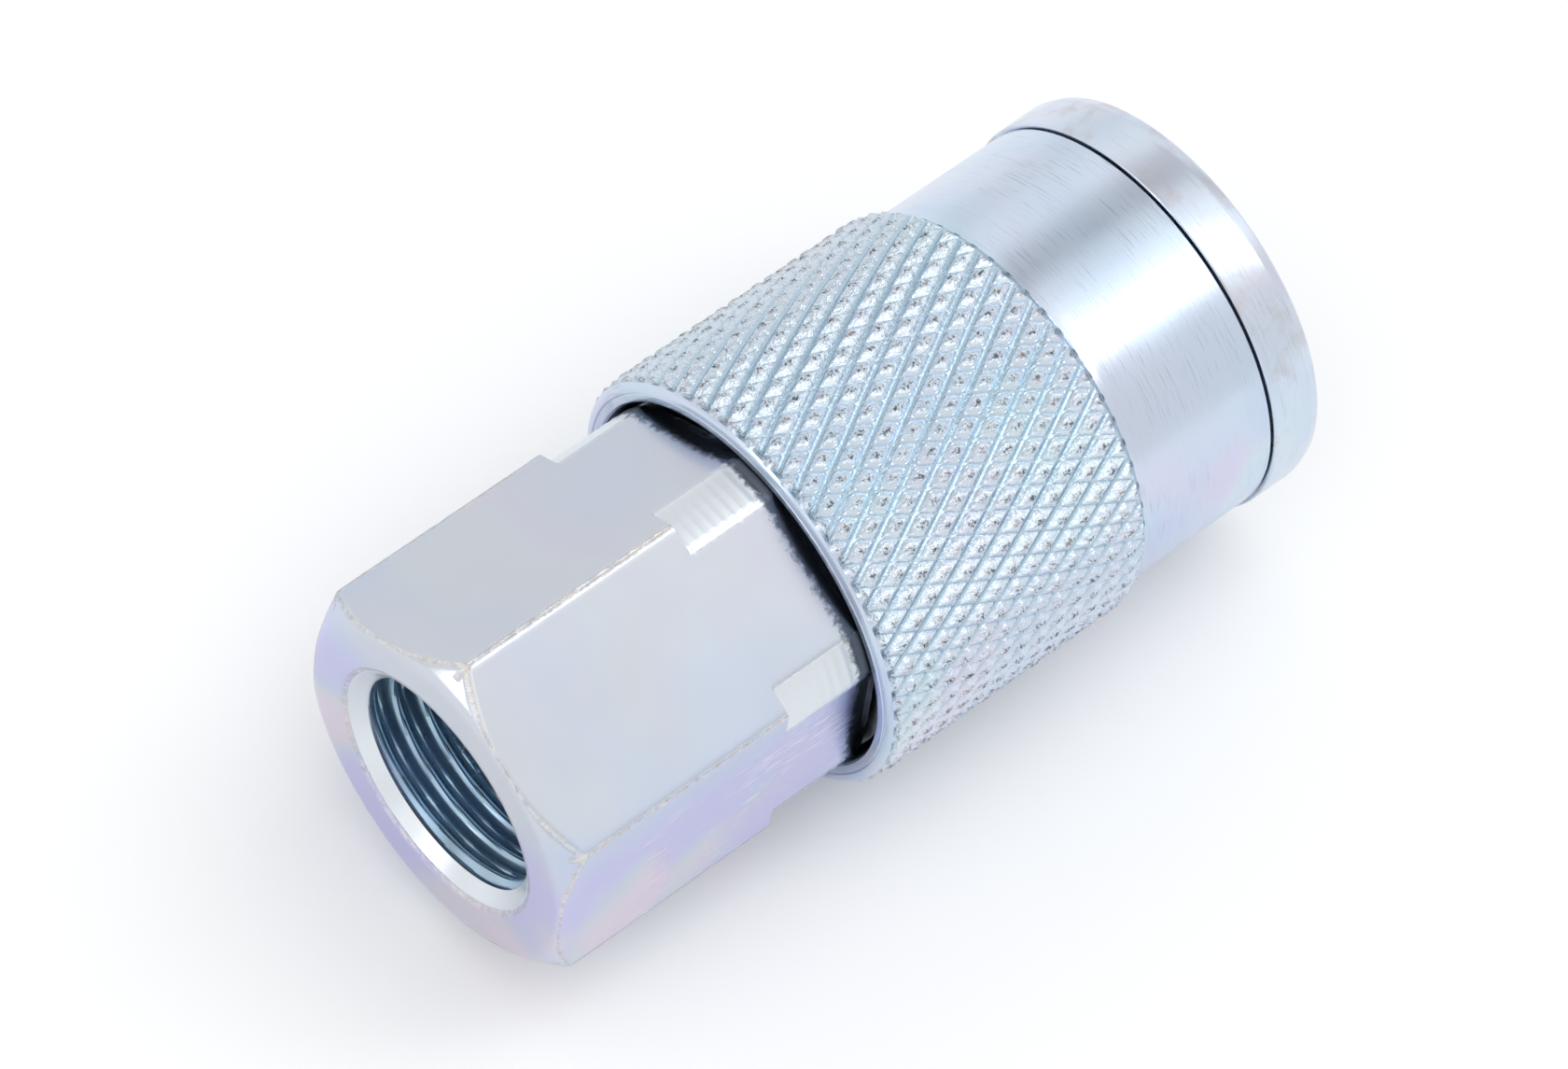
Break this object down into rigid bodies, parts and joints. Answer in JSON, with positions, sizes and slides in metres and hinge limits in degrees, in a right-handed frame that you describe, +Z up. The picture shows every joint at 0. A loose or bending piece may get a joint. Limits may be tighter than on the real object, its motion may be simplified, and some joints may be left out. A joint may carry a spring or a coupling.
{
  "type": "quick disconnect coupler",
  "caption": "Female quick disconnect air coupler: hex adapter with threaded port, sprung knurled locking sleeve, ball lock, push-open valve and front collar.",
  "frame": {"origin": "centre of the threaded port at its end face", "axes": "+X along the coupler's axis from the port to the plug socket, +Z up through a point of the hex"},
  "size_m": [0.0492, 0.024, 0.024],
  "materials": {
    "adapter_steel": "bright zinc plated, milled flats and turned points",
    "sleeve_steel": "bright zinc plated, diamond knurled grip and fine turned front",
    "collar_steel": "bright zinc plated, tumbled",
    "body_steel": "bright zinc plated, turned",
    "spring_steel": "drawn wire and stamped strip, oiled",
    "ball_steel": "polished bearing ball",
    "valve_brass": "turned",
    "seal_rubber": "moulded nitrile",
    "backup_ptfe": "turned PTFE"
  },
  "bodies": {
    "coupler_body": {"rear_adapter": "adapter_steel", "socket_body": "body_steel", "front_collar": "collar_steel", "collar_snap_ring": "spring_steel", "body_o_ring": "seal_rubber", "plug_packing": "seal_rubber", "packing_backup_ring": "backup_ptfe", "valve_guide": "valve_brass", "valve_spring": "spring_steel", "rear_spring_washer": "spring_steel", "sleeve_spring": "spring_steel"},
    "thrust_washer": {"sleeve_thrust_washer": "spring_steel"},
    "sleeve": {"locking_sleeve": "sleeve_steel"},
    "valve": {"valve_poppet": "valve_brass", "valve_seal": "seal_rubber"},
    "ball_1": {"locking_ball_1": "ball_steel"},
    "ball_2": {"locking_ball_2": "ball_steel"},
    "ball_3": {"locking_ball_3": "ball_steel"},
    "ball_4": {"locking_ball_4": "ball_steel"},
    "ball_5": {"locking_ball_5": "ball_steel"},
    "ball_6": {"locking_ball_6": "ball_steel"}
  },
  "joints": [
    {"name": "sleeve_slide", "type": "slide", "parent": "coupler_body", "child": "thrust_washer", "axis": [-1, 0, 0], "range_m": [0, 0.005], "stiffness_N_per_m": 3000, "springref_m": -0.004, "deforming": ["sleeve_spring"]},
    {"name": "sleeve_spin", "type": "hinge", "parent": "thrust_washer", "child": "sleeve", "pos_m": [0.0316, 0, 0], "axis": [1, 0, 0], "continuous": true},
    {"name": "valve_slide", "type": "slide", "parent": "coupler_body", "child": "valve", "axis": [-1, 0, 0], "range_m": [0, 0.004], "stiffness_N_per_m": 800, "springref_m": -0.005, "deforming": ["valve_spring"]},
    {"name": "ball_1_lift", "type": "slide", "parent": "coupler_body", "child": "ball_1", "axis": [0, 0, 1], "range_m": [0, 0.00096]},
    {"name": "ball_2_lift", "type": "slide", "parent": "coupler_body", "child": "ball_2", "axis": [0, -0.866, 0.5], "range_m": [0, 0.00096]},
    {"name": "ball_3_lift", "type": "slide", "parent": "coupler_body", "child": "ball_3", "axis": [0, -0.866, -0.5], "range_m": [0, 0.00096]},
    {"name": "ball_4_lift", "type": "slide", "parent": "coupler_body", "child": "ball_4", "axis": [0, 0, -1], "range_m": [0, 0.00096]},
    {"name": "ball_5_lift", "type": "slide", "parent": "coupler_body", "child": "ball_5", "axis": [0, 0.866, -0.5], "range_m": [0, 0.00096]},
    {"name": "ball_6_lift", "type": "slide", "parent": "coupler_body", "child": "ball_6", "axis": [0, 0.866, 0.5], "range_m": [0, 0.00096]}
  ],
  "couplings": [
    {"joint": "ball_1_lift", "follows": "sleeve_slide", "ratio": 0.19},
    {"joint": "ball_2_lift", "follows": "sleeve_slide", "ratio": 0.19},
    {"joint": "ball_3_lift", "follows": "sleeve_slide", "ratio": 0.19},
    {"joint": "ball_4_lift", "follows": "sleeve_slide", "ratio": 0.19},
    {"joint": "ball_5_lift", "follows": "sleeve_slide", "ratio": 0.19},
    {"joint": "ball_6_lift", "follows": "sleeve_slide", "ratio": 0.19}
  ]
}
